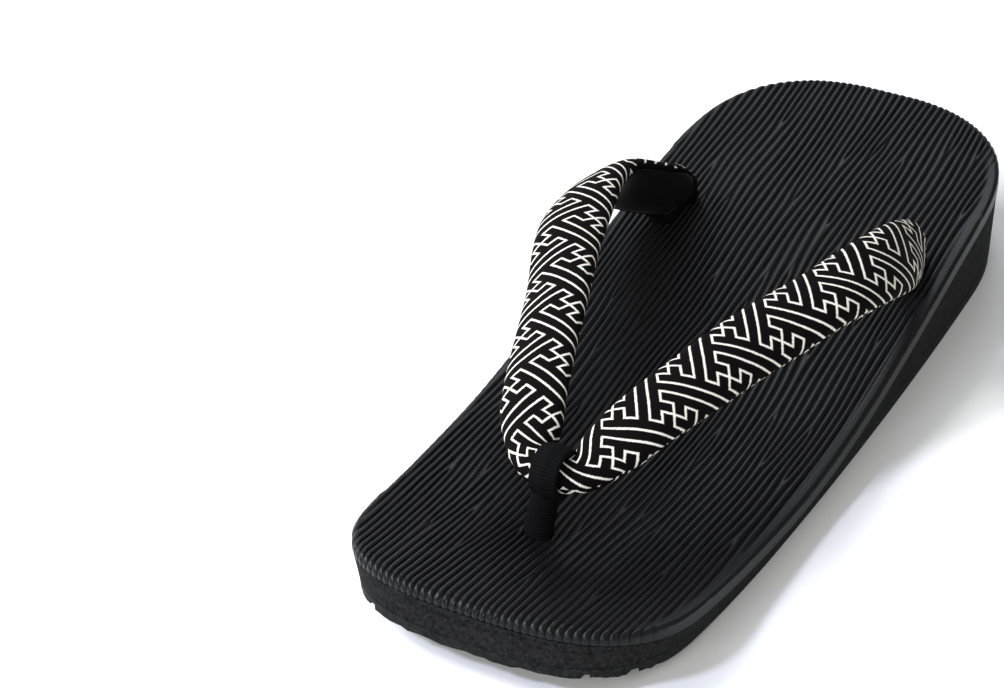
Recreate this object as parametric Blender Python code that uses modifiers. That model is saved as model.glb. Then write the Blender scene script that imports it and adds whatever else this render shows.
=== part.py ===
"""A setta: a flat, square-ended sandal with a wedge sole, a stuffed two-arm strap and a front loop.

Metres, +Z up. X runs across the sandal and Y along it, with the toe at -Y and the heel at +Y.
The origin is on the ground, under the centre of the sole.
"""

import math

import bmesh
import bpy
from mathutils import Vector

MM = 0.001

# Driving sizes of the sole
LENGTH = 270 * MM
HALF_WIDTH = 54 * MM
BARREL = 2.6 * MM  # how much narrower the sides are at the corners than at the middle
TOE_CORNER = 41 * MM  # length of sole taken up by the toe's rounded corners
HEEL_CORNER = 50 * MM
TOE_SQUARENESS = 2.9  # 2 is an ellipse, more is squarer
HEEL_SQUARENESS = 2.7
FRONT_THICKNESS = 10.8 * MM
HEEL_THICKNESS = 36.5 * MM
TOE_SPRING = 7.0 * MM
SPRING_START = 0.31  # share of the length, from the toe, where the sole leaves the ground
WALL_TAPER = 2.4 * MM  # how far the side wall draws in from the top to the ground
END_FLARE = 1.0 * MM  # how far the toe's and heel's walls lean out from the top to the ground

# Layers
GAP = 0.3 * MM  # between pieces that are glued or rest on each other
REST_GAP = 0.5 * MM  # under the soft strap, where it lies on the footbed
FOOTBED_THICKNESS = 4.0 * MM
END_ROLL = 4.2 * MM  # rounding of the footbed's toe and heel edges
SIDE_ROLL = 1.2 * MM
OUTSOLE_THICKNESS = 3.2 * MM
LUG_HEIGHT = 1.7 * MM
LUG_COUNT = 11
GROOVE_WIDTH = 2.2 * MM

# Holes for the strap and the loop, and the recesses under the sole for their knots
FRONT_HOLE_SHARE = 0.163  # share of the length, from the toe
REAR_HOLE_SHARE = 0.704
REAR_HOLE_TO_EDGE = 14.5 * MM
FRONT_HOLE_SIDE = -2.5 * MM  # the front hole is a little off the middle
CORD_DIAMETER = 9.4 * MM
RECESS_DIAMETER = 19 * MM
REAR_RECESS_DEPTH = 8 * MM
FRONT_RECESS_DEPTH = 5.4 * MM
KNOT_DIAMETER = 14.5 * MM

# Strap
STRAP_WIDTH = 22 * MM
STRAP_THICKNESS = 10 * MM
STRAP_RISE = 36 * MM  # of the strap's middle over the footbed
LINING_THICKNESS = 1.2 * MM
LINING_REACH = 0.86  # share of the half width that the lining covers

# Front loop
LOOP_BAND = 9 * MM
LOOP_WALL = 2.1 * MM
LOOP_SHIFT = -0.6 * MM  # the loop leans over towards its hole
NECK_LEAN = 1.2 * MM
LOOP_LIFT = 0.9 * MM
NECK_DIAMETER = 9.4 * MM

# How thick the sole is, from toe to heel, as a share of the rise from front to heel thickness
WEDGE = [
    {"along": 0.000, "rise": 0.220},
    {"along": 0.125, "rise": 0.090},
    {"along": 0.250, "rise": 0.025},
    {"along": 0.375, "rise": 0.000},
    {"along": 0.500, "rise": 0.140},
    {"along": 0.625, "rise": 0.380},
    {"along": 0.750, "rise": 0.620},
    {"along": 0.875, "rise": 0.800},
    {"along": 1.000, "rise": 1.000},
]

# One arm of the strap, from the joint to the rear hole. along is a share of the way from the
# front hole to the rear one, across of the rear hole's distance from the middle, rise of the
# strap's rise over the footbed, wide and thick of the strap's size. lean turns the arm outwards.
ARM = [
    {"along": 0.010, "across": -0.34, "rise": 0.54, "lean": 0, "wide": 0.46, "thick": 1.00},
    {"along": 0.040, "across": 0.14, "rise": 0.57, "lean": -3, "wide": 0.49, "thick": 1.02},
    {"along": 0.104, "across": 0.306, "rise": 0.712, "lean": -8, "wide": 0.79, "thick": 0.97},
    {"along": 0.193, "across": 0.45, "rise": 0.87, "lean": -14, "wide": 0.88, "thick": 0.92},
    {"along": 0.428, "across": 0.76, "rise": 1.02, "lean": -22, "wide": 0.92, "thick": 1.00},
    {"along": 0.638, "across": 1.05, "rise": 0.98, "lean": -12, "wide": 0.97, "thick": 0.99},
    {"along": 0.816, "across": 1.18, "rise": 0.76, "lean": -38, "wide": 0.93, "thick": 0.96},
    {"along": 0.957, "across": 1.11, "rise": 0.38, "lean": -60, "wide": 0.92, "thick": 0.98},
    {"along": 1.020, "across": 1.02, "rise": 0.11, "lean": -80, "wide": 0.80, "thick": 1.00},
]

# The knot at a cord's end: depth under the recess's ceiling and width, as shares of its size
KNOT = [
    {"down": 0.00, "wide": 0.66},
    {"down": 0.12, "wide": 0.92},
    {"down": 0.50, "wide": 1.00},
    {"down": 0.88, "wide": 0.80},
    {"down": 1.00, "wide": 0.45},
]

# The loop's band from side to side: place across the band and size, as shares
LOOP_EDGE = [
    {"across": -0.50, "size": 0.88},
    {"across": -0.38, "size": 0.97},
    {"across": 0.00, "size": 1.00},
    {"across": 0.38, "size": 0.97},
    {"across": 0.50, "size": 0.88},
]

HALF_LENGTH = LENGTH / 2
REAR_HOLE_SIDE = HALF_WIDTH - REAR_HOLE_TO_EDGE
FRONT_HOLE_Y = LENGTH * FRONT_HOLE_SHARE - HALF_LENGTH
REAR_HOLE_Y = LENGTH * REAR_HOLE_SHARE - HALF_LENGTH
HOLE_DIAMETER = CORD_DIAMETER + 2 * GAP
HOLES = {
    "front": {"x": FRONT_HOLE_SIDE, "y": FRONT_HOLE_Y, "recess": FRONT_RECESS_DEPTH},
    "rear_right": {"x": REAR_HOLE_SIDE, "y": REAR_HOLE_Y, "recess": REAR_RECESS_DEPTH},
    "rear_left": {"x": -REAR_HOLE_SIDE, "y": REAR_HOLE_Y, "recess": REAR_RECESS_DEPTH},
}


def clear_scene():
    for thing in list(bpy.data.objects):
        bpy.data.objects.remove(thing, do_unlink=True)


def collection(name):
    made = bpy.data.collections.new(name)
    bpy.context.scene.collection.children.link(made)
    return made


def material(name, colour, roughness):
    made = bpy.data.materials.new(name)
    made.use_nodes = True
    shader = made.node_tree.nodes["Principled BSDF"]
    shader.inputs["Base Color"].default_value = (*colour, 1)
    shader.inputs["Roughness"].default_value = roughness
    shader.inputs["Metallic"].default_value = 0
    made.diffuse_color = (*colour, 1)
    return made


def smooth_read(rows, column, at, key="along"):
    """Reads a column of a table at a place between its rows, along a smooth curve through them."""
    places = [row[key] for row in rows]
    values = [row[column] for row in rows]
    at = min(max(at, places[0]), places[-1])
    i = max(k for k in range(len(places) - 1) if places[k] <= at)
    step = places[i + 1] - places[i]
    t = (at - places[i]) / step

    def slope(k):
        low, high = max(k - 1, 0), min(k + 1, len(places) - 1)
        return (values[high] - values[low]) / (places[high] - places[low]) * step

    a, b = values[i], values[i + 1]
    return (
        a * (2 * t**3 - 3 * t**2 + 1)
        + slope(i) * (t**3 - 2 * t**2 + t)
        + b * (3 * t**2 - 2 * t**3)
        + slope(i + 1) * (t**3 - t**2)
    )


# The sole's own surfaces
def ground(y):
    """Height of the sole's underside: flat, then curving up to the toe."""
    start = LENGTH * SPRING_START - HALF_LENGTH
    reach = (start - y) / (start + HALF_LENGTH)
    return TOE_SPRING * max(reach, 0.0) ** 2


def top(y):
    """Height of the footbed."""
    share = (y + HALF_LENGTH) / LENGTH
    rise = smooth_read(WEDGE, "rise", share)
    return ground(y) + FRONT_THICKNESS + (HEEL_THICKNESS - FRONT_THICKNESS) * rise


def half_width(y):
    return HALF_WIDTH - BARREL * (y / (HALF_LENGTH - TOE_CORNER)) ** 2


def side_line():
    """The right half of the outline from toe to heel, as (x, y) points."""
    corner_steps, side_steps = 11, 9
    last_turn = math.radians(84)
    points = []
    for i in range(corner_steps):
        turn = last_turn * (1 - i / corner_steps)
        power = 2 / TOE_SQUARENESS
        y = -(HALF_LENGTH - TOE_CORNER) - TOE_CORNER * math.sin(turn) ** power
        points.append((half_width(y) * math.cos(turn) ** power, y))
    first, last = -(HALF_LENGTH - TOE_CORNER), HALF_LENGTH - HEEL_CORNER
    for i in range(side_steps):
        y = first + (last - first) * i / side_steps
        points.append((half_width(y), y))
    for i in range(corner_steps + 1):
        turn = last_turn * i / corner_steps
        power = 2 / HEEL_SQUARENESS
        y = last + HEEL_CORNER * math.sin(turn) ** power
        points.append((half_width(y) * math.cos(turn) ** power, y))
    return [Vector(p) for p in points]


def outward(line):
    """The outline's outward direction at each of its points."""
    found = []
    for i, here in enumerate(line):
        before = line[i - 1] if i else Vector((-line[0].x, line[0].y))
        after = line[i + 1] if i + 1 < len(line) else Vector((-line[-1].x, line[-1].y))
        along = after - before
        found.append(Vector((along.y, -along.x)).normalized())
    return found


def outline_ring(inset, height):
    """A closed ring of points round the sole. inset takes the outward direction, height takes y
    and the outward direction."""
    line = side_line()
    right = []
    for point, out in zip(line, outward(line)):
        moved = point - out * inset(out)
        right.append(Vector((moved.x, moved.y, height(moved.y, out))))
    return right + [Vector((-p.x, p.y, p.z)) for p in reversed(right)]


def add_object(name, verts, faces, folder, finish=None):
    mesh = bpy.data.meshes.new(name)
    mesh.from_pydata([tuple(v) for v in verts], [], faces)
    shape = bmesh.new()
    shape.from_mesh(mesh)
    bmesh.ops.recalc_face_normals(shape, faces=shape.faces)
    shape.to_mesh(mesh)
    shape.free()
    made = bpy.data.objects.new(name, mesh)
    folder.objects.link(made)
    if finish:
        mesh.materials.append(finish)
        mesh.shade_smooth()
        mesh.set_sharp_from_angle(angle=math.radians(35))
    else:
        made.hide_render = True
        made.display_type = "WIRE"
    return made


def ring_walls(count, rings):
    """Faces between successive closed rings of count points."""
    faces = []
    for r in range(rings - 1):
        for i in range(count):
            j = (i + 1) % count
            faces.append((r * count + i, r * count + j, (r + 1) * count + j, (r + 1) * count + i))
    return faces


def slab(name, rings, folder, finish=None):
    """A layer of the sole, lofted through outline rings from its underside to its top. Its flat
    sides are laid in strips across the sole, so that they follow the sole's curve."""
    count = len(rings[0])
    faces = ring_walls(count, len(rings))
    last = (len(rings) - 1) * count
    for i in range(count // 2 - 1):
        j = count - 1 - i
        faces.append((i, j, j - 1, i + 1))
        faces.append((last + i, last + i + 1, last + j - 1, last + j))
    return add_object(name, [v for ring in rings for v in ring], faces, folder, finish)


def wall_inset(down):
    """How far the wall has drawn in, at a share of the way from the footbed to the ground."""
    return lambda out: down * (WALL_TAPER * abs(out.x) - END_FLARE * out.y**2)


def edge_roll(turn):
    """Inset and drop of the footbed's rounded edge, at a turn from its side to its top."""

    def radius(out):
        return SIDE_ROLL + (END_ROLL - SIDE_ROLL) * out.y**2

    def inset(out):
        return radius(out) * (1 - math.cos(turn))

    def height(y, out):
        drop = min(radius(out), FOOTBED_THICKNESS * 0.8)
        return top(y) - drop * (1 - math.sin(turn))

    return inset, height


def make_footbed(folder, finish):
    under = outline_ring(lambda out: 0.0, lambda y, out: top(y) - FOOTBED_THICKNESS)
    rolled = [outline_ring(*edge_roll(math.radians(turn))) for turn in (0, 30, 60, 90)]
    return slab("footbed", [under] + rolled, folder, finish)


def make_midsole(folder, finish):
    lower = outline_ring(wall_inset(0.85), lambda y, out: ground(y) + OUTSOLE_THICKNESS + GAP)
    upper = outline_ring(wall_inset(0.10), lambda y, out: top(y) - FOOTBED_THICKNESS - GAP)
    return slab("midsole", [lower, upper], folder, finish)


def make_outsole(folder, finish):
    lower = outline_ring(wall_inset(1.0), lambda y, out: ground(y))
    upper = outline_ring(wall_inset(0.88), lambda y, out: ground(y) + OUTSOLE_THICKNESS)
    return slab("outsole", [lower, upper], folder, finish)


# Cutters
def groove_strip(x):
    """Points and faces of a strip along the whole sole that cuts one groove of the tread."""
    below = 4 * MM
    steps = 22
    rings = []
    for i in range(steps + 1):
        y = -HALF_LENGTH * 1.04 + LENGTH * 1.08 * i / steps
        low, high = ground(y) - below, ground(y) + LUG_HEIGHT
        left, right = x - GROOVE_WIDTH / 2, x + GROOVE_WIDTH / 2
        rings.append([(left, y, low), (left, y, high), (right, y, high), (right, y, low)])
    faces = ring_walls(4, len(rings))
    last = 4 * steps
    faces += [(3, 2, 1, 0), (last, last + 1, last + 2, last + 3)]
    return [v for ring in rings for v in ring], faces


def tread_cutter(folder):
    verts, faces = [], []
    pitch = 2 * (HALF_WIDTH - BARREL) / LUG_COUNT
    for i in range(LUG_COUNT - 1):
        x = (i + 1) * pitch - (HALF_WIDTH - BARREL)
        more, more_faces = groove_strip(x)
        faces += [tuple(v + len(verts) for v in face) for face in more_faces]
        verts += more
    return add_object("tread_cutter", verts, faces, folder)


def cylinder_cutter(name, hole, low, high, diameter, sides, folder):
    middle = (hole["x"], hole["y"], (low + high) / 2)
    bpy.ops.mesh.primitive_cylinder_add(
        vertices=sides, radius=diameter / 2, depth=high - low, location=middle
    )
    made = bpy.context.object
    made.name = name
    made.hide_render = True
    made.display_type = "WIRE"
    for owner in list(made.users_collection):
        owner.objects.unlink(made)
    folder.objects.link(made)
    return made


def cut(target, cutter):
    modifier = target.modifiers.new(cutter.name, "BOOLEAN")
    modifier.operation = "DIFFERENCE"
    modifier.solver = "EXACT"
    modifier.object = cutter


def recess_ceiling(hole):
    return ground(hole["y"]) + hole["recess"]


def cut_holes(layers, folder):
    beyond = 12 * MM
    for name, hole in HOLES.items():
        low, high = ground(hole["y"]) - beyond, top(hole["y"]) + beyond
        ceiling = recess_ceiling(hole)
        bore = cylinder_cutter(f"{name}_bore", hole, low, high, HOLE_DIAMETER, 24, folder)
        recess = cylinder_cutter(f"{name}_recess", hole, low, ceiling, RECESS_DIAMETER, 32, folder)
        for layer in layers:
            cut(layer, bore)
        for layer in layers[1:]:
            cut(layer, recess)


# Strap and loop
def arm_point(row):
    y = FRONT_HOLE_Y + (REAR_HOLE_Y - FRONT_HOLE_Y) * row["along"]
    return Vector((REAR_HOLE_SIDE * row["across"], y, top(y) + STRAP_RISE * row["rise"]))


def cord_stations(hole, lean):
    """A cord straight down its hole to the knot in the recess."""
    first_z = top(hole["y"]) + GAP
    ceiling = recess_ceiling(hole) - GAP
    knot_height = hole["recess"] - 3 * GAP
    down = [(z, CORD_DIAMETER) for z in (first_z, (ceiling + first_z) / 2, ceiling + 0.6 * MM)]
    down += [(ceiling - knot_height * row["down"], KNOT_DIAMETER * row["wide"]) for row in KNOT]
    return [
        {"at": Vector((hole["x"], hole["y"], z)), "wide": size, "thick": size, "lean": lean}
        for z, size in down
    ]


def arm_stations(clearance=0.0):
    """The sections of one arm: place, width, thickness and lean, from the joint to the knot."""
    count = 28
    stations = []
    rows = []
    for i, row in enumerate(ARM):
        x, y, z = arm_point(row)
        rows.append({**row, "step": i, "x": x, "y": y, "z": z})
    for i in range(count):
        at = (len(rows) - 1) * i / (count - 1)
        columns = ("x", "y", "z", "wide", "thick", "lean")
        read = {column: smooth_read(rows, column, at, "step") for column in columns}
        stations.append({
            "at": Vector((read["x"], read["y"], read["z"])),
            "wide": STRAP_WIDTH * read["wide"] + 2 * clearance,
            "thick": STRAP_THICKNESS * read["thick"] + 2 * clearance,
            "lean": math.radians(read["lean"]),
        })
    return stations


def with_frames(stations):
    """Adds each section's own directions: wide across the arm, thick out of its face."""
    chord = Vector((REAR_HOLE_SIDE, REAR_HOLE_Y - FRONT_HOLE_Y, 0)).normalized()
    aside = chord.cross(Vector((0, 0, 1)))
    for i, station in enumerate(stations):
        before = stations[max(i - 1, 0)]["at"]
        after = stations[min(i + 1, len(stations) - 1)]["at"]
        way = (after - before).normalized()
        side = (aside - way * aside.dot(way)).normalized()
        face = side.cross(way)
        lean = station["lean"]
        station["side"] = side * math.cos(lean) + face * math.sin(lean)
        station["face"] = face * math.cos(lean) - side * math.sin(lean)
    return stations


def off_the_footbed(point):
    """Lifts a point of the soft strap that would sink into the footbed."""
    return Vector((point.x, point.y, max(point.z, top(point.y) + REST_GAP)))


def sweep(name, rings, folder, finish=None):
    count = len(rings[0])
    faces = ring_walls(count, len(rings))
    faces.append(tuple(reversed(range(count))))
    faces.append(tuple((len(rings) - 1) * count + i for i in range(count)))
    return add_object(name, [v for ring in rings for v in ring], faces, folder, finish)


def lining_share(turn):
    """1 where the lining covers the strap's underside, 0 on its face, with a short step between."""
    if math.sin(turn) > 0:
        return 0.0
    return 1.0 if abs(math.cos(turn)) < LINING_REACH else 0.0


def strap_ring(station, over_footbed, inlay, sides=16):
    ring = []
    for i in range(sides):
        turn = 2 * math.pi * i / sides
        across = station["wide"] / 2 * math.cos(turn)
        out = station["thick"] / 2 * math.sin(turn)
        out += inlay * lining_share(turn)
        point = station["at"] + station["side"] * across + station["face"] * out
        ring.append(off_the_footbed(point) if over_footbed else point)
    return ring


def mirrored(thing):
    modifier = thing.modifiers.new("mirror", "MIRROR")
    modifier.use_axis = (True, False, False)
    modifier.use_bisect_axis = (True, False, False)
    modifier.use_clip = True
    modifier.use_mirror_merge = True
    modifier.merge_threshold = 0.01 * MM
    return thing


def make_strap(folder, finish):
    hole = HOLES["rear_right"]
    arm = arm_stations()
    stations = with_frames(arm + cord_stations(hole, arm[-1]["lean"]))
    rings = []
    for i, station in enumerate(stations):
        on_arm = i < len(arm) - 3
        inlay = LINING_THICKNESS + GAP if on_arm else 0.0
        rings.append(strap_ring(station, i <= len(arm), inlay))
    return mirrored(sweep("strap", rings, folder, finish))


def make_lining(folder, finish):
    """The thin cloth under each arm, laid along the strap's own underside."""
    stations = with_frames(arm_stations())[:-4]
    reach = math.acos(LINING_REACH)
    steps = 6
    rings = []
    for station in stations:
        outer, inner = [], []
        for i in range(steps + 1):
            turn = math.pi + reach + (math.pi - 2 * reach) * i / steps
            across = station["wide"] / 2 * math.cos(turn)
            out = station["thick"] / 2 * math.sin(turn)
            edge = 0.35 if i in (0, steps) else 1.0
            outer.append(station["at"] + station["side"] * across + station["face"] * out)
            inner.append(outer[-1] + station["face"] * LINING_THICKNESS * edge)
        rings.append([off_the_footbed(p) for p in outer + inner[::-1]])
    return mirrored(sweep("strap_lining", rings, folder, finish))


def strap_cutter(folder):
    """The strap's joint with clearance all round, to open the loop for it."""
    rings = [strap_ring(station, False, 0.0) for station in with_frames(arm_stations(GAP))]
    return mirrored(sweep("strap_clearance", rings, folder))


def unite(target, other):
    modifier = target.modifiers.new(other.name, "BOOLEAN")
    modifier.operation = "UNION"
    modifier.solver = "EXACT"
    modifier.object = other


def make_loop(folder, cutters, finish):
    """The loop round the strap's joint, on a round neck that goes down to its own knot."""
    hole = HOLES["front"]
    joint = {"along": (ARM[0]["along"] + ARM[1]["along"]) / 2, "across": 0.0, "rise": ARM[1]["rise"]}
    centre = arm_point(joint) + Vector((LOOP_SHIFT, 0, LOOP_LIFT))
    half_y = STRAP_WIDTH * ARM[1]["wide"] / 2 + GAP + LOOP_WALL
    half_z = STRAP_THICKNESS * ARM[1]["thick"] / 2 + GAP + LOOP_WALL + LOOP_LIFT / 2
    sides = 28
    rings = []
    for row in LOOP_EDGE:
        ring = []
        for i in range(sides):
            turn = 2 * math.pi * i / sides
            y, z = half_y * math.cos(turn), half_z * math.sin(turn)
            ring.append(centre + Vector((LOOP_BAND * row["across"], y * row["size"], z * row["size"])))
        rings.append(ring)
    loop = sweep("front_loop", rings, folder, finish)
    neck_top = {
        "at": centre - Vector((NECK_LEAN, 0, half_z - LOOP_WALL * 1.2)),
        "wide": NECK_DIAMETER, "thick": NECK_DIAMETER * 0.9, "lean": 0.0,
    }
    cord = cord_stations(hole, 0.0)
    neck = with_frames([neck_top] + cord)
    unite(loop, sweep("loop_neck", [strap_ring(station, False, 0.0) for station in neck], cutters))
    cut(loop, strap_cutter(cutters))
    return loop


def build():
    clear_scene()
    sandal = collection("setta_sandal")
    cutters = collection("cutters")
    foam = material("footbed_foam", (0.018, 0.018, 0.02), 0.5)
    sole = material("sole_foam", (0.012, 0.012, 0.013), 0.75)
    rubber = material("tread_rubber", (0.01, 0.01, 0.01), 0.65)
    cloth = material("strap_cloth", (0.03, 0.025, 0.026), 0.85)
    velvet = material("lining_velvet", (0.006, 0.006, 0.006), 0.95)
    ribbed = material("loop_cloth", (0.008, 0.008, 0.009), 0.85)
    layers = [make_footbed(sandal, foam), make_midsole(sandal, sole), make_outsole(sandal, rubber)]
    cut(layers[2], tread_cutter(cutters))
    cut_holes(layers, cutters)
    make_strap(sandal, cloth)
    make_lining(sandal, velvet)
    make_loop(sandal, cutters, ribbed)


build()
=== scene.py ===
import math
import random

import bmesh
import bpy
from mathutils import Matrix, Vector, kdtree, noise


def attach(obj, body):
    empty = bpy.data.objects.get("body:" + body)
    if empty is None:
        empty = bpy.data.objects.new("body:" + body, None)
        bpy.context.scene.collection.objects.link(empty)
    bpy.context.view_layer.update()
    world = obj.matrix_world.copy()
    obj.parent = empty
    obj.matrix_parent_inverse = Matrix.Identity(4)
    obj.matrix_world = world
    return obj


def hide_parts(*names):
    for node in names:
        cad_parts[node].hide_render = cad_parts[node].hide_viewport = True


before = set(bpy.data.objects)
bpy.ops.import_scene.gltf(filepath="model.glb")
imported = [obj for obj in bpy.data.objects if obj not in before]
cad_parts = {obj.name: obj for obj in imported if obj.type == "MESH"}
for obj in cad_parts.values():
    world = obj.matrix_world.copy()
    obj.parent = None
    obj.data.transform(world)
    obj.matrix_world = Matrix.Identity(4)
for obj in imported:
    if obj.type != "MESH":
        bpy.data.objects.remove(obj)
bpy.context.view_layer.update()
mm = 0.001


def say(words):
    print("setta: " + words, flush=True)


def linear(hexColour):  # sRGB hex to the linear numbers that a socket takes
    parts = [int(hexColour[i:i + 2], 16) / 255 for i in (1, 3, 5)]
    return [p / 12.92 if p <= 0.04045 else ((p + 0.055) / 1.055) ** 2.4 for p in parts] + [1.0]


def addNode(tree, kind, settings=None, links=None):
    node = tree.nodes.new(kind)
    for key, value in (settings or {}).items():
        if isinstance(key, str) and hasattr(node, key):
            setattr(node, key, value)
    for key, value in (settings or {}).items():
        if not (isinstance(key, str) and hasattr(node, key)):
            node.inputs[key].default_value = value
    for key, source in (links or {}).items():
        tree.links.new(source, node.inputs[key])
    return node


def calc(tree, operation, a, b=None, c=None):  # a, b and c are numbers or other nodes' outputs
    node = addNode(tree, "ShaderNodeMath", {"operation": operation})
    for i, value in enumerate((a, b, c)):
        if isinstance(value, (int, float)):
            node.inputs[i].default_value = value
        elif value is not None:
            tree.links.new(value, node.inputs[i])
    return node.outputs[0]


def noiseOn(tree, at, scale, detail, **more):
    settings = {"Scale": scale, "Detail": detail, **more}
    return addNode(tree, "ShaderNodeTexNoise", settings, {"Vector": at}).outputs["Fac"]


def spread(tree, value, settings):  # a value moved to another range
    return addNode(tree, "ShaderNodeMapRange", settings, {"Value": value}).outputs["Result"]


def blend(tree, share, low, high):  # each colour is a hex word or another node's output
    node = addNode(tree, "ShaderNodeMix", {"data_type": "RGBA"}, {0: share})
    for socket, colour in ((6, low), (7, high)):
        if isinstance(colour, str):
            node.inputs[socket].default_value = linear(colour)
        else:
            tree.links.new(colour, node.inputs[socket])
    return node.outputs[2]


def bumpOn(tree, shader, height, strength, depth):  # depth in mm
    bump = addNode(tree, "ShaderNodeBump", {"Strength": strength, "Distance": depth * mm}, {"Height": height})
    tree.links.new(bump.outputs[0], shader.inputs["Normal"])


def attributeOf(tree, name, output="Fac"):
    return addNode(tree, "ShaderNodeAttribute", {"attribute_name": name}).outputs[output]


def objectPlace(tree):
    return addNode(tree, "ShaderNodeTexCoord").outputs["Object"]


def newMaterial(name, colour, roughness):
    made = bpy.data.materials.new(name)
    made.use_nodes = True
    shader = made.node_tree.nodes["Principled BSDF"]
    shader.inputs["Base Color"].default_value = linear(colour)
    shader.inputs["Roughness"].default_value = roughness
    return made, made.node_tree, shader


def onlySelect(piece):
    if bpy.context.mode != "OBJECT":
        bpy.ops.object.mode_set(mode="OBJECT")
    bpy.ops.object.select_all(action="DESELECT")
    piece.select_set(True)
    bpy.context.view_layer.objects.active = piece


def applyAll(piece):
    onlySelect(piece)
    for modifier in list(piece.modifiers):
        bpy.ops.object.modifier_apply(modifier=modifier.name)


def addModifier(piece, kind, **settings):
    modifier = piece.modifiers.new(kind.lower(), kind)
    for key, value in settings.items():
        setattr(modifier, key, value)
    return modifier


def dropPiece(piece):
    bpy.data.objects.remove(piece, do_unlink=True)


def smoothOver(piece, degrees):
    onlySelect(piece)
    bpy.ops.object.shade_smooth_by_angle(angle=math.radians(degrees))


def outwardFaces(piece):
    onlySelect(piece)
    bpy.ops.object.mode_set(mode="EDIT")
    bpy.ops.mesh.select_all(action="SELECT")
    bpy.ops.mesh.normals_make_consistent(inside=False)
    bpy.ops.object.mode_set(mode="OBJECT")


def closeTube(piece):  # joins a tube's seam and fills its two ends
    onlySelect(piece)
    bpy.ops.object.mode_set(mode="EDIT")
    bpy.ops.mesh.select_all(action="SELECT")
    bpy.ops.mesh.remove_doubles(threshold=0.001 * mm)
    bpy.ops.mesh.select_all(action="DESELECT")
    bpy.ops.mesh.select_non_manifold()
    bpy.ops.mesh.edge_face_add()
    bpy.ops.object.mode_set(mode="OBJECT")


def pointValues(mesh, name, kind, values):  # keeps a value for each point, for the material to read
    field = "vector" if kind == "FLOAT_VECTOR" else "value"
    made = mesh.attributes.new(name, kind, "POINT")
    for i, value in enumerate(values):
        setattr(made.data[i], field, value)


def clamp(value):
    return min(max(value, 0.0), 1.0)


def finishPiece(piece, node, material):
    piece.data.materials.clear()
    piece.data.materials.append(material)
    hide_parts(node)
    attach(piece, "root")


def gridSheet(name, across, along):  # a flat grid from -1 to 1, to be laid on a form
    bpy.ops.object.select_all(action="DESELECT")
    bpy.ops.mesh.primitive_grid_add(x_subdivisions=across, y_subdivisions=along, size=2)
    piece = bpy.context.object
    piece.name = name
    piece.data.name = name
    return piece


# the sole's sizes, in mm, and the form that all its layers follow
sole = {
    "length": 270,
    "halfWidth": 54,
    "barrel": 2.6,  # how much the long sides bow out
    "toeCorner": 41,
    "heelCorner": 50,
    "toeSquareness": 2.9,  # 2 is an ellipse, more is squarer
    "heelSquareness": 2.7,
    "frontThickness": 10.8,  # at the thinnest place, under the ball
    "heelThickness": 36.5,
    "toeSpring": 7.0,
    "springStart": 0.31,  # share of the length over which the toe curves up
    "wallTaper": 2.4,  # the long sides come in by this much at the ground
    "endFlare": 1.0,  # and the toe and heel go out by this much
    "footbedThickness": 4.0,
    "endRoll": 4.2,
    "sideRoll": 1.2,
    "outsoleThickness": 3.2,
    "lugHeight": 1.7,
    "lugs": 11,
    "grooveWidth": 2.2,
    "gap": 0.3,
}
wedge = [  # thickness from toe to heel, as a share of the rise from front to heel
    {"along": 0.000, "rise": 0.220},
    {"along": 0.125, "rise": 0.090},
    {"along": 0.250, "rise": 0.025},
    {"along": 0.375, "rise": 0.000},
    {"along": 0.500, "rise": 0.140},
    {"along": 0.625, "rise": 0.380},
    {"along": 0.750, "rise": 0.620},
    {"along": 0.875, "rise": 0.800},
    {"along": 1.000, "rise": 1.000},
]
halfLength = sole["length"] / 2
punch = {
    "cord": 5.0,  # radii, in mm
    "recess": 9.5,
    "slit": 4.4,
    "slitShape": (1.06, 0.76, 1),  # the foam closes round the flat neck
}
holes = {
    "front": {"x": -2.5, "y": sole["length"] * 0.163 - halfLength, "recess": 5.4},
    "rearRight": {"x": 39.5, "y": sole["length"] * 0.704 - halfLength, "recess": 8.0},
    "rearLeft": {"x": -39.5, "y": sole["length"] * 0.704 - halfLength, "recess": 8.0},
}


def smoothRead(rows, column, at, key="along"):
    places = [row[key] for row in rows]
    values = [row[column] for row in rows]
    at = min(max(at, places[0]), places[-1])
    i = max(k for k in range(len(places) - 1) if places[k] <= at)
    step = places[i + 1] - places[i]
    t = (at - places[i]) / step

    def slope(k):
        low, high = max(k - 1, 0), min(k + 1, len(places) - 1)
        return (values[high] - values[low]) / (places[high] - places[low]) * step

    start = values[i] * (2 * t**3 - 3 * t**2 + 1) + slope(i) * (t**3 - 2 * t**2 + t)
    return start + values[i + 1] * (3 * t**2 - 2 * t**3) + slope(i + 1) * (t**3 - t**2)


def groundAt(y):
    start = sole["length"] * sole["springStart"] - halfLength
    return sole["toeSpring"] * max((start - y) / (start + halfLength), 0.0) ** 2


def topAt(y):
    rise = smoothRead(wedge, "rise", (y + halfLength) / sole["length"])
    front, heel = sole["frontThickness"], sole["heelThickness"]
    return groundAt(y) + front + (heel - front) * rise


def halfWidthAt(y):
    return sole["halfWidth"] - sole["barrel"] * (y / (halfLength - sole["toeCorner"])) ** 2


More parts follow.
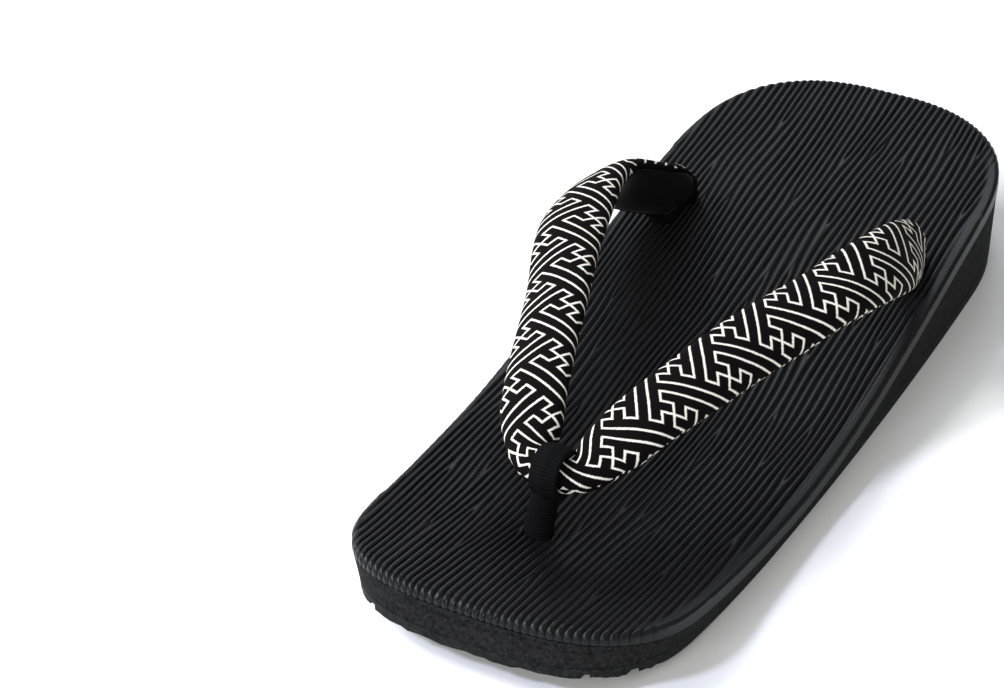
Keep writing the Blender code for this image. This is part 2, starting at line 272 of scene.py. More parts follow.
def sideLine(cornerSteps, sideSteps):  # the right half of the outline, from toe to heel
    lastTurn = math.radians(84)
    points = []
    toeY, heelY = -(halfLength - sole["toeCorner"]), halfLength - sole["heelCorner"]
    for i in range(cornerSteps):
        turn, power = lastTurn * (1 - i / cornerSteps), 2 / sole["toeSquareness"]
        y = toeY - sole["toeCorner"] * math.sin(turn) ** power
        points.append((halfWidthAt(y) * math.cos(turn) ** power, y))
    for i in range(sideSteps):
        y = toeY + (heelY - toeY) * i / sideSteps
        points.append((halfWidthAt(y), y))
    for i in range(cornerSteps + 1):
        turn, power = lastTurn * i / cornerSteps, 2 / sole["heelSquareness"]
        y = heelY + sole["heelCorner"] * math.sin(turn) ** power
        points.append((halfWidthAt(y) * math.cos(turn) ** power, y))
    return [Vector(point) for point in points]


def outwardOf(line):
    found = []
    for i in range(len(line)):
        before = line[i - 1] if i else Vector((-line[0].x, line[0].y))
        after = line[i + 1] if i + 1 < len(line) else Vector((-line[-1].x, line[-1].y))
        way = after - before
        found.append(Vector((way.y, -way.x)).normalized())
    return found


def punchHoles(piece, withRecess):
    for name, hole in holes.items():
        ceiling = groundAt(hole["y"]) + hole["recess"]
        slit = name == "front" and not withRecess
        cuts = [(punch["slit"] if slit else punch["cord"], -20, 80)]
        if withRecess:
            cuts.append((punch["recess"], -20, ceiling))
        for radius, low, high in cuts:
            bpy.ops.object.select_all(action="DESELECT")
            bpy.ops.mesh.primitive_cylinder_add(
                vertices=64, radius=radius * mm, depth=(high - low) * mm,
                location=(hole["x"] * mm, hole["y"] * mm, (high + low) / 2 * mm))
            cutter = bpy.context.object
            if slit:
                bpy.ops.transform.resize(value=punch["slitShape"])
                bpy.ops.transform.translate(value=Vector(loop["neckShift"]) * mm)
            addModifier(piece, "BOOLEAN", operation="DIFFERENCE", solver="EXACT", object=cutter)
            applyAll(piece)
            dropPiece(cutter)


# footbed: a sheet of moulded foam with ribs along the foot, rolled over at toe and heel
footbed = {
    "ribPitch": 2.2,
    "ribHeight": 0.72,
    "ribWander": 1.15,  # how far a rib strays sideways
    "toeDrift": 2.2,  # how far the ribs drift to the right at the toe
    "plainRim": 2.9,  # the smooth strip beside the ribs on the right side
    "leftRim": 0.9,
    "flatAndShadowAt": (16.0, -64.0),  # the ribs are flatter beside the neck, and the same patch is painted darker there as a painted shadow of the strap
    "flatAndShadowReach": (13, 22),
    "flatPatch": 0.45,  # by this share
    "dip": 0.8,  # how far each hole pulls the foam down, and how wide
    "dipReach": 8,
    "columnsPerRib": 8,
    "rowStep": 1.75,
    "extraRibs": 34,
    "extraLength": (26, 70),
    "seed": 11,
}


def pickForks():  # a rib that splits off and joins again is a pair of opposite forks
    luck = random.Random(footbed["seed"])
    found = []
    while len(found) < 2 * footbed["extraRibs"]:
        x = luck.uniform(-0.92, 0.92) * sole["halfWidth"]
        y = luck.uniform(-1.05, 0.95) * halfLength
        reach = luck.uniform(*footbed["extraLength"])
        if min(abs(abs(place) - halfLength) for place in (y, y + reach)) < 20:  # none at the rolled ends
            continue
        if all(abs(x - fork["x"]) > 5 or abs(y - fork["y"]) > 24 for fork in found):
            way = luck.choice((1, -1))
            found.append({"x": x, "y": y, "turn": way})
            found.append({"x": x + luck.uniform(-2.5, 2.5), "y": y + reach, "turn": -way})
    return found


forks = pickForks()


def ribPhase(x, y):
    wander = noise.noise(Vector((x / 17, y / 38, 1.7))) * footbed["ribWander"]
    wander += noise.noise(Vector((x / 8, y / 24, 5.1))) * footbed["ribWander"] * 0.22
    drift = footbed["toeDrift"] * clamp((-70 - y) / 65) ** 2
    phase = 2 * math.pi * (x + wander - drift) / footbed["ribPitch"]
    for fork in forks:
        phase += fork["turn"] * math.atan2((x - fork["x"]) * 2.6, y - fork["y"])
    return phase


def endReach(share, end):  # how far the outline's rounded end goes at this share across
    squareness = sole[end + "Squareness"]
    return sole[end + "Corner"] * max(1 - abs(share) ** squareness, 0.0) ** (1 / squareness)


def rimFinder():  # finds the outline's nearest place, and the way out of it
    right = sideLine(160, 500)
    places = list(zip(right, outwardOf(right)))
    places += [(Vector((-point.x, point.y)), Vector((-out.x, out.y))) for point, out in places]
    for end, way in ((right[0], -1), (right[-1], 1)):  # across toe and heel, between the two halves
        places += [(Vector((end.x * i / 10, end.y)), Vector((0, way))) for i in range(-9, 10)]
    finder = kdtree.KDTree(len(places))
    for i, (point, _) in enumerate(places):
        finder.insert((point.x, point.y, 0), i)
    finder.balance()
    return finder, places


def closeUnder(mesh, rim, across, along):  # adds the footbed's edge and its underside
    shape = bmesh.new()
    shape.from_mesh(mesh)
    shape.verts.ensure_lookup_table()
    upper = {key: shape.verts[index] for key, index in rim.items()}
    lower = {}
    for key, point in upper.items():
        place = point.co.copy()
        place.z = (topAt(place.y / mm) - sole["footbedThickness"]) * mm
        lower[key] = shape.verts.new(place)
    ring = [(c, 0) for c in range(across + 1)] + [(across, r) for r in range(1, along + 1)]
    ring += [(c, along) for c in range(across - 1, -1, -1)] + [(0, r) for r in range(along - 1, 0, -1)]
    for here, after in zip(ring, ring[1:] + ring[:1]):
        shape.faces.new((upper[here], lower[here], lower[after], upper[after]))
    for r in range(along):  # in strips straight across the foot
        shape.faces.new((lower[0, r], lower[0, r + 1], lower[across, r + 1], lower[across, r]))
    for row in (0, along):
        for c in range(across // 2):
            corners = [lower[c, row], lower[c + 1, row], lower[across - c - 1, row], lower[across - c, row]]
            if c + 1 == across // 2:  # both halves meet in the middle
                del corners[2]
            shape.faces.new(corners)
    bmesh.ops.recalc_face_normals(shape, faces=shape.faces)
    shape.to_mesh(mesh)
    shape.free()


def buildFootbed():
    count = int(2 * sole["halfWidth"] / footbed["ribPitch"] * footbed["columnsPerRib"])
    edge = [0, 0.02, 0.08, 0.2, 0.4, 0.7, 1.1, 1.6, 2.2]  # columns from the side, in mm
    inner = sole["halfWidth"] - 2.6
    shares = [-1 + d / sole["halfWidth"] for d in edge]
    shares += [(-1 + 2 * i / count) * inner / sole["halfWidth"] for i in range(count + 1)]
    shares += [-share for share in reversed(shares[:len(edge)])]
    fromEnd = [0, 0.12, 0.35, 0.7, 1.1, 1.6, 2.2, 2.9, 3.7, 4.6, 5.7, 7.0]  # rows from toe and heel
    middleRows = int((sole["length"] - 14) / footbed["rowStep"])
    finder, rimPlaces = rimFinder()
    across, along = len(shares) - 1, 2 * len(fromEnd) + middleRows
    piece = gridSheet("ribbedFootbed", across, along)
    mesh = piece.data
    thick = sole["footbedThickness"]
    toeY, heelY = -(halfLength - sole["toeCorner"]), halfLength - sole["heelCorner"]
    waves = [None] * len(mesh.vertices)
    dull = [0.0] * len(mesh.vertices)
    rim = {}
    for v in mesh.vertices:
        column = round((v.co.x + 1) / 2 * across)
        row = round((v.co.y + 1) / 2 * along)
        share = shares[column]
        first, last = toeY - endReach(share, "toe"), heelY + endReach(share, "heel")
        if row < len(fromEnd):
            y = first + fromEnd[row]
        elif row > along - len(fromEnd):
            y = last - fromEnd[along - row]
        else:
            reach = (row - len(fromEnd) + 1) / (middleRows + 2)
            y = first + fromEnd[-1] + (last - first - 2 * fromEnd[-1]) * reach
        x = share * halfWidthAt(y)
        near, index, _ = finder.find((x, y, 0))
        out = rimPlaces[index][1]
        onRim = column in (0, across) or row in (0, along)
        depth = 0.0 if onRim else (Vector((x, y)) - near.xy).length
        radius = sole["sideRoll"] + (sole["endRoll"] - sole["sideRoll"]) * out.y**2
        turn = math.acos(max(1 - depth / radius, 0.0)) if depth < radius else math.pi / 2
        drop = min(radius, thick * 0.85) * (1 - math.sin(turn))
        normal = Vector((out.x * math.cos(turn), out.y * math.cos(turn), math.sin(turn)))
        onEnd = clamp((out.y**2 - 0.12) / 0.3)
        plain = footbed["plainRim"] if x > 0 else footbed["leftRim"]
        fade = max(onEnd, clamp((depth - plain) / 1.4))
        fade *= 0.92 + 0.12 * noise.noise(Vector((x / 8, y / 40, 9.3)))
        fade *= 0.55 + 0.45 * math.sin(turn) ** 2  # shallower where the edge rolls over
        # the patch beside the neck: its ribs are flattened, and its mask also paints the strap's shadow there
        patchAxes = zip((x, y), footbed["flatAndShadowAt"], footbed["flatAndShadowReach"])
        away = Vector([(here - middle) / size for here, middle, size in patchAxes]).length
        flatPatch = math.exp(-(away**2))
        fade *= 1 - footbed["flatPatch"] * flatPatch
        phase = ribPhase(x, y)
        dip = 0
        for hole in holes.values():
            away = math.hypot(x - hole["x"], y - hole["y"]) / footbed["dipReach"]
            dip += footbed["dip"] * math.exp(-(away**2))
        raised = footbed["ribHeight"] * fade * (abs(math.cos(phase / 2)) ** 0.8 - 1)
        v.co = (Vector((x, y, topAt(y) - drop - dip)) + normal * raised) * mm
        waves[v.index] = (math.cos(phase), math.sin(phase), fade)
        # the patch's mask is kept for the material, which paints a shadow of the strap with it
        dull[v.index] = flatPatch
        if onRim:
            rim[(column, row)] = v.index
    closeUnder(mesh, rim, across, along)
    pointValues(mesh, "ribWave", "FLOAT_VECTOR", waves)
    pointValues(mesh, "flatAndShadowPatch", "FLOAT", dull)
    punchHoles(piece, False)
    smoothOver(piece, 60)
    say("footbed ribbed")
    return piece


# midsole and outsole: plain foam wedge and thin lugged tread
def insetAt(down, out):
    return down * (sole["wallTaper"] * abs(out.x) - sole["endFlare"] * out.y**2)


def buildLayer(name, lowDown, highDown, lowAt, highAt):
    line = sideLine(30, 60)
    outs = outwardOf(line)
    across, along = 8, len(line) - 1
    piece = gridSheet(name, across, along)

    def lay(v, down, heightAt):
        row = round((v.co.y + 1) / 2 * along)
        share = v.co.x
        edgePoint = line[row] - outs[row] * insetAt(down, outs[row])
        return Vector((edgePoint.x * share, edgePoint.y, heightAt(edgePoint.y))) * mm

    low = [lay(v, lowDown, lowAt) for v in piece.data.vertices]
    high = [lay(v, highDown, highAt) for v in piece.data.vertices]
    for v in piece.data.vertices:
        v.co = low[v.index]
    count = len(low)
    onlySelect(piece)
    bpy.ops.object.mode_set(mode="EDIT")
    bpy.ops.mesh.select_all(action="SELECT")
    bpy.ops.mesh.extrude_region_move(TRANSFORM_OT_translate={"value": (0, 0, 5 * mm)})
    bpy.ops.object.mode_set(mode="OBJECT")
    moved = [v for v in piece.data.vertices if v.select]
    fixed = kdtree.KDTree(count)
    for i, place in enumerate(low):
        fixed.insert(place + Vector((0, 0, 5 * mm)), i)
    fixed.balance()
    for v in moved:
        v.co = high[fixed.find(v.co)[1]]
    outwardFaces(piece)
    return piece


def buildMidsole():
    under = sole["outsoleThickness"] + sole["gap"]
    over = sole["footbedThickness"] + sole["gap"]
    piece = buildLayer("foamWedge", 0.85, 0.10, lambda y: groundAt(y) + under, lambda y: topAt(y) - over)
    addModifier(piece, "BEVEL", width=0.5 * mm, segments=3, limit_method="ANGLE",
                angle_limit=math.radians(50))
    applyAll(piece)
    punchHoles(piece, True)
    smoothOver(piece, 30)
    say("midsole done")
    return piece


def buildOutsole():
    over = sole["outsoleThickness"] + 0.2
    piece = buildLayer("luggedTread", 1.0, 0.88, groundAt, lambda y: groundAt(y) + over)
    pitch = 2 * (sole["halfWidth"] - sole["barrel"]) / sole["lugs"]
    cutter = gridSheet("grooves", 1, 60)
    for v in cutter.data.vertices:
        y = v.co.y * (halfLength - 2.2)
        x = v.co.x * sole["grooveWidth"] / 2 - (sole["halfWidth"] - sole["barrel"]) + pitch
        v.co = Vector((x, y, groundAt(y) + sole["lugHeight"])) * mm
    onlySelect(cutter)
    bpy.ops.object.mode_set(mode="EDIT")
    bpy.ops.mesh.select_all(action="SELECT")
    bpy.ops.mesh.extrude_region_move(TRANSFORM_OT_translate={"value": (0, 0, -5 * mm)})
    bpy.ops.object.mode_set(mode="OBJECT")
    outwardFaces(cutter)
    addModifier(cutter, "ARRAY", count=sole["lugs"] - 1, use_relative_offset=False,
                use_constant_offset=True, constant_offset_displace=(pitch * mm, 0, 0))
    applyAll(cutter)
    addModifier(piece, "BOOLEAN", operation="DIFFERENCE", solver="EXACT", object=cutter)
    applyAll(piece)
    dropPiece(cutter)
    for v in piece.data.vertices:  # the toe's cut edge is ragged, off the ground
        place = v.co / mm
        if place.y < -112 and place.z < groundAt(place.y) + 0.1:
            v.co.z += abs(noise.noise(Vector((place.x / 3.1, place.y / 3.1, 4.4)))) * 1.3 * mm
    punchHoles(piece, True)
    smoothOver(piece, 30)
    say("outsole done")
    return piece


# strap: a stuffed tube of brocade, with its velvet lining, gathered into the rear holes
strap = {
    "width": 22,
    "thickness": 10,
    "rise": 36,  # of its middle over the footbed
    "around": 56,
    "alongArm": 150,
    "liningReach": 0.86,  # share of the half width that the lining covers
    "liningThickness": 1.2,
    "farPull": (4.6, 2.6, -1.2),  # how the left arm's end differs from the right one's
    "farTuck": (-1.7, 2.0, 0.0),  # and its lower edge
    "farSink": 2.2,  # and its upper edge
    "pullFrom": (34, 24),  # along the foot: where the pull starts, and its length up to the full amount
    "tuckFrom": (38, 15),
    "gathers": 15,
    "gatherDepth": 0.30,
    "gatherReach": 7.0,  # how far from the hole they die away
    "cord": 9.4,
    "knot": 14.5,
}
arm = [  # from the joint to the rear hole, as shares of the sizes above
    {"along": 0.010, "across": -0.34, "rise": 0.54, "lean": 0, "wide": 0.46, "thick": 1.00},
    {"along": 0.040, "across": 0.14, "rise": 0.57, "lean": -3, "wide": 0.49, "thick": 1.02},
    {"along": 0.104, "across": 0.306, "rise": 0.712, "lean": -8, "wide": 0.79, "thick": 0.97},
    {"along": 0.193, "across": 0.45, "rise": 0.87, "lean": -14, "wide": 0.88, "thick": 0.92},
    {"along": 0.428, "across": 0.76, "rise": 1.02, "lean": -22, "wide": 0.92, "thick": 1.00},
    {"along": 0.638, "across": 1.05, "rise": 0.98, "lean": -12, "wide": 0.97, "thick": 0.99},
    {"along": 0.816, "across": 1.18, "rise": 0.76, "lean": -38, "wide": 0.93, "thick": 0.96},
    {"along": 0.957, "across": 1.11, "rise": 0.38, "lean": -60, "wide": 0.92, "thick": 0.98},
    {"along": 1.020, "across": 1.02, "rise": 0.11, "lean": -80, "wide": 0.80, "thick": 1.00},
]
knot = [
    {"down": 0.00, "wide": 0.66},
    {"down": 0.12, "wide": 0.92},
    {"down": 0.50, "wide": 1.00},
    {"down": 0.88, "wide": 0.80},
    {"down": 1.00, "wide": 0.45},
]


def armPoint(row):
    y = holes["front"]["y"] + (holes["rearRight"]["y"] - holes["front"]["y"]) * row["along"]
    return Vector((holes["rearRight"]["x"] * row["across"], y, topAt(y) + strap["rise"] * row["rise"]))


def armStations(count):
    rows = []
    for i, row in enumerate(arm):
        x, y, z = armPoint(row)
        rows.append({**row, "step": i, "x": x, "y": y, "z": z})
    found = []
    for i in range(count):
        at = (len(rows) - 1) * i / (count - 1)
        read = {key: smoothRead(rows, key, at, "step") for key in ("x", "y", "z", "wide", "thick", "lean")}
        found.append({
            "at": Vector((read["x"], read["y"], read["z"])),
            "wide": strap["width"] * read["wide"],
            "thick": strap["thickness"] * read["thick"],
            "lean": math.radians(read["lean"]),
        })
    return found


def cordStations(hole, lean, stepsDown=8):
    ceiling = groundAt(hole["y"]) + hole["recess"] - sole["gap"]
    top = topAt(hole["y"]) + sole["gap"]
    places = [(top + (ceiling + 0.6 - top) * i / stepsDown, strap["cord"]) for i in range(stepsDown + 1)]
    tall = hole["recess"] - 3 * sole["gap"]
    for i in range(11):
        places.append((ceiling - tall * i / 10, strap["knot"] * smoothRead(knot, "wide", i / 10, "down")))
    return [{"at": Vector((hole["x"], hole["y"], z)), "wide": size, "thick": size, "lean": lean}
            for z, size in places]


def withFrames(stations):
    chord = Vector((holes["rearRight"]["x"], holes["rearRight"]["y"] - holes["front"]["y"], 0))
    aside = chord.normalized().cross(Vector((0, 0, 1)))
    gone = 0.0
    for i, station in enumerate(stations):
        before, after = stations[max(i - 1, 0)]["at"], stations[min(i + 1, len(stations) - 1)]["at"]
        way = (after - before).normalized()
        side = (aside - way * aside.dot(way)).normalized()
        face = side.cross(way)
        lean = station["lean"]
        station["side"] = side * math.cos(lean) + face * math.sin(lean)
        station["face"] = face * math.cos(lean) - side * math.sin(lean)
        gone += (station["at"] - stations[max(i - 1, 0)]["at"]).length
        station["gone"] = gone
    return stations


def mirrorArms(piece):
    onlySelect(piece)
    bpy.ops.object.mode_set(mode="EDIT")
    bpy.ops.mesh.select_all(action="SELECT")
    bpy.ops.mesh.bisect(plane_co=(0, 0, 0), plane_no=(1, 0, 0), clear_inner=True)
    bpy.ops.object.mode_set(mode="OBJECT")
    addModifier(piece, "MIRROR", use_clip=True, merge_threshold=0.02 * mm)
    applyAll(piece)


def velvetFarEnd(piece):  # the left arm shows only its lining where it dives into its hole
    underside = piece.data.attributes["underside"]
    for v in piece.data.vertices:
        place = v.co / mm
        low = place.z < topAt(place.y) + 3.2
        if place.x < 0 and place.y > 36 and (low or v.normal.dot(Vector((0.8, -0.2, -0.5))) > 0.3):
            underside.data[v.index].value = 1.0


def pullFarEnd(piece):  # the left arm's end lies a little further in and back than the right one's
    for v in piece.data.vertices:
        place = v.co / mm
        over = place.z - topAt(place.y)
        if place.x > 0 or over < 0:
            continue
        zones = (strap["pullFrom"], strap["tuckFrom"])
        near, reach = (clamp((place.y - start) / length) for start, length in zones)
        near *= min(over / 3.0, 1.0)
        reach *= reach * (3 - 2 * reach)
        low = max(1 - over / 10, 0.0) * min(over / 0.8, 1.0)
        high = clamp((over - 4) / 6)
        v.co += Vector(strap["farPull"]) * (near * near * (3 - 2 * near)) * mm
        v.co += (Vector(strap["farTuck"]) * low - Vector((0, 0, strap["farSink"])) * high) * (reach * mm)


def buildStrap():
    arms = armStations(strap["alongArm"])
    stations = withFrames(arms + cordStations(holes["rearRight"], arms[-1]["lean"]))
    around, along = strap["around"], len(stations) - 1
    piece = gridSheet("brocadeStrap", around, along)
    mesh = piece.data
    armLength = stations[len(arms) - 1]["gone"]
    atLoop = stations[round(0.6 * (len(arms) - 1) / (len(arm) - 1))]["gone"]
    cloth = {}
    liningEnd = len(arms) - 5  # the lining stops a little before the hole
    for v in mesh.vertices:
        column = round((v.co.x + 1) / 2 * around) % around
        row = round((v.co.y + 1) / 2 * along)
        station = stations[row]
        turn = 2 * math.pi * column / around
        halfWide, halfThick = station["wide"] / 2, station["thick"] / 2
        across, out = halfWide * math.cos(turn), halfThick * math.sin(turn)
        if row < liningEnd and math.sin(turn) < 0:  # the bed for the lining
            bed = clamp((strap["liningReach"] + 0.03 - abs(math.cos(turn))) / 0.06)
            fadeIn = min(1.0, (liningEnd - row) / 3)
            out += (strap["liningThickness"] + sole["gap"]) * bed * fadeIn
        fromEnd = armLength - station["gone"]
        pleat = math.exp(-max(fromEnd, 0) / strap["gatherReach"])
        if fromEnd <= -2:  # and they end inside the hole
            pleat = max(0.0, 1 + (fromEnd + 2) / 3)
        swell = 0.25 * noise.noise(Vector((station["gone"] / 17, turn * 1.3, 2.0)))
        swell += strap["gatherDepth"] * pleat * math.cos(strap["gathers"] * turn + 0.6 * math.sin(3 * turn))
        side, face = station["side"], station["face"]
        direction = side * (math.cos(turn) * halfThick) + face * (math.sin(turn) * halfWide)
        place = station["at"] + side * across + face * out + direction.normalized() * swell
        if row <= len(arms):
            place.z = max(place.z, topAt(place.y) + 0.5)
        v.co = place * mm
        cloth[v.index] = (station["gone"], row, turn)
    underside = mesh.attributes.new("underside", "FLOAT", "POINT")
    for v in mesh.vertices:
        _, row, turn = cloth[v.index]
        if row <= len(arms) and math.sin(turn) < 0:
            covered = clamp((strap["liningReach"] + 0.1 - abs(math.cos(turn))) / 0.1)
            underside.data[v.index].value = covered
    # the cloth's own place in mm: along the arm, and across it from the middle of its face
    layer = mesh.uv_layers.active or mesh.uv_layers.new(name="clothUV")
    layer.name = "clothUV"
    nominal = []
    steps = 720
    length = 0.0
    lastPoint = None
    for i in range(steps + 1):
        a = 2 * math.pi * i / steps
        point = Vector((strap["width"] * 0.46 * math.cos(a), strap["thickness"] * 0.49 * math.sin(a)))
        length += (point - lastPoint).length if lastPoint else 0.0
        lastPoint = point
        nominal.append(length)

    def arcAt(a):  # from the outer edge round the face, 0 at the middle of the face
        return nominal[min(int(round(a / (2 * math.pi) * steps)), steps)] - nominal[steps // 4]

    for polygon in mesh.polygons:
        turns = [cloth[mesh.loops[k].vertex_index][2] for k in polygon.loop_indices]
        wraps = max(turns) - min(turns) > math.pi
        for k in polygon.loop_indices:
            gone, _, turn = cloth[mesh.loops[k].vertex_index]
            if wraps and turn < math.pi:
                turn += 2 * math.pi
            layer.data[k].uv = (gone - atLoop, -arcAt(turn))
    closeTube(piece)
    mirrorArms(piece)
    pullFarEnd(piece)
    outwardFaces(piece)
    velvetFarEnd(piece)
    smoothOver(piece, 60)
    mesh = piece.data
    layer = mesh.uv_layers["clothUV"]
    for polygon in mesh.polygons:
        origin = fret["farOrigin"] if polygon.center.x < 0 else fret["nearOrigin"]
        for k in polygon.loop_indices:
            layer.data[k].uv = (layer.data[k].uv.x - origin[0], layer.data[k].uv.y - origin[1])
    say("strap stuffed")
    return piece


def buildLining():
    stations = withFrames(armStations(110))[:-4]
    across, along = 14, len(stations) - 1
    reach = math.acos(strap["liningReach"])
    piece = gridSheet("velvetLining", across, along)
    for v in piece.data.vertices:
        column = round((v.co.x + 1) / 2 * across)
        station = stations[round((v.co.y + 1) / 2 * along)]
        turn = math.pi + reach + (math.pi - 2 * reach) * column / across
        place = station["at"] + station["side"] * (station["wide"] / 2 * math.cos(turn))
        place += station["face"] * (station["thick"] / 2 * math.sin(turn))
        place.z = max(place.z, topAt(place.y) + 0.6)
        v.co = place * mm
    outwardFaces(piece)
    addModifier(piece, "SOLIDIFY", thickness=1.0 * mm, offset=-1.0, use_rim=True)
    applyAll(piece)
    outwardFaces(piece)
    mirrorArms(piece)
    pullFarEnd(piece)
    addModifier(piece, "BEVEL", width=0.35 * mm, segments=3, limit_method="ANGLE",
                angle_limit=math.radians(50))
    applyAll(piece)
    outwardFaces(piece)
    smoothOver(piece, 60)
    say("lining laid")
    return piece


# front loop: a ribbed band round the joint, with its neck through the front hole
loop = {
    "band": 8.4,  # width of the band round the arms
    "wall": 2.1,
    "shift": 0.9,  # to the right of the joint
    "lift": 0.9,
    "neck": 8.7,  # width and depth of the flat neck
    "neckDepth": 6.6,
    "neckLean": 2.4,  # where it leaves the band, to the left
    "neckShift": (-1.6, 2.5, 0),  # where it enters the footbed, off the hole under it
    "voxel": 0.32,
    "ribPitch": 1.05,
}


def buildLoop():
    hole = holes["front"]
    joint = (arm[0]["along"] + arm[1]["along"]) / 2
    centre = armPoint({"along": joint, "across": 0, "rise": arm[1]["rise"]})
    centre += Vector((loop["shift"], 0, loop["lift"]))
    halfY = strap["width"] * arm[1]["wide"] / 2 + sole["gap"] + loop["wall"]
    halfZ = strap["thickness"] * arm[1]["thick"] / 2 + sole["gap"] + loop["wall"] + loop["lift"] / 2
    bpy.ops.object.select_all(action="DESELECT")
    bpy.ops.mesh.primitive_cylinder_add(
        vertices=96, radius=1, depth=loop["band"], end_fill_type="NOTHING", rotation=(0, math.pi / 2, 0))
    band = bpy.context.object
    bpy.ops.object.transform_apply(location=True, rotation=True, scale=True)
    onlySelect(band)
    bpy.ops.object.mode_set(mode="EDIT")
    bpy.ops.mesh.select_all(action="SELECT")
    bpy.ops.mesh.subdivide(number_cuts=1)
    bpy.ops.object.mode_set(mode="OBJECT")
    for v in band.data.vertices:
        away = math.hypot(v.co.y, v.co.z)
        crown = 1 - 0.10 * abs(v.co.x / loop["band"] * 2) ** 3
        unit = Vector((0, v.co.y / away, v.co.z / away))
        v.co = (centre + Vector((v.co.x, unit.y * halfY * crown, unit.z * halfZ * crown))) * mm
    outwardFaces(band)
    addModifier(band, "SOLIDIFY", thickness=loop["wall"] * mm, offset=-1.0)
    applyAll(band)
    # the neck, from the band down to the knot
    start = centre - Vector((loop["neckLean"], 0, halfZ - loop["wall"] * 0.7))
    stations = [{"at": start, "wide": loop["neck"], "thick": loop["neckDepth"], "lean": 0.0}]
    stations += cordStations(hole, 0.0)
    for station in stations[1:10]:
        station["thick"] = loop["neckDepth"]
        station["at"] += Vector(loop["neckShift"])
    stations = withFrames(stations)
    around, along = 48, len(stations) - 1
    neck = gridSheet("neck", around, along)
    for v in neck.data.vertices:
        column = round((v.co.x + 1) / 2 * around) % around
        station = stations[round((v.co.y + 1) / 2 * along)]
        turn = 2 * math.pi * column / around
        place = station["at"] + station["side"] * (station["wide"] / 2 * math.cos(turn))
        place += station["face"] * (station["thick"] / 2 * math.sin(turn))
        v.co = place * mm
    closeTube(neck)
    outwardFaces(neck)
    outwardFaces(band)
    addModifier(band, "BOOLEAN", operation="UNION", solver="EXACT", object=neck)
    addModifier(band, "REMESH", mode="VOXEL", voxel_size=loop["voxel"] * mm)
    addModifier(band, "SMOOTH", factor=0.5, iterations=5)
    applyAll(band)
    dropPiece(neck)
    band.name = "ribbedLoop"
    band.data.name = "ribbedLoop"
    # how far along the cloth each point lies: round the band, then down the neck
    mesh = band.data
    ribPlace = mesh.attributes.new("ribPlace", "FLOAT", "POINT")
    bottom = centre.z - halfZ
    for v in mesh.vertices:
        place = v.co / mm
        if place.z < bottom + 1.0:
            value = place.z
        else:
            turn = math.atan2(abs(place.y - centre.y), centre.z - place.z)
            value = bottom + 1.0 + turn * (halfY + halfZ) / 2
        ribPlace.data[v.index].value = value
    smoothOver(band, 180)
    say("loop wound")
    return band


# materials, each named for the real finish
fret = {  # the key fret: two slanted directions of lines on a pitch of one unit
    "alongStep": 2.03,
    "acrossStep": 2.83,
    "nearOrigin": (37.9, 5.85),  # mm along and across the arm where a crossing lies
    "farOrigin": (40.4, -7.5),
    "lineWidth": 0.2,  # in units, and so is its soft edge
    "softEdge": 0.035,
    "ground": "#231d1e",
}
fretBars = [  # one key, as bars from (i, j) to (i, j), in units; turning and mirroring give the rest
    (0, -1, 0, 1), (-1, 0, 1, 0), (1, 0, 1, -1), (1, -1, 2, -1), (0, 1, 1, 1), (1, 1, 1, 2),
    (2, -1, 2, 3), (-1, -2, 3, -2), (-3, 2, 1, 2), (0, -1, -1, -1),
]


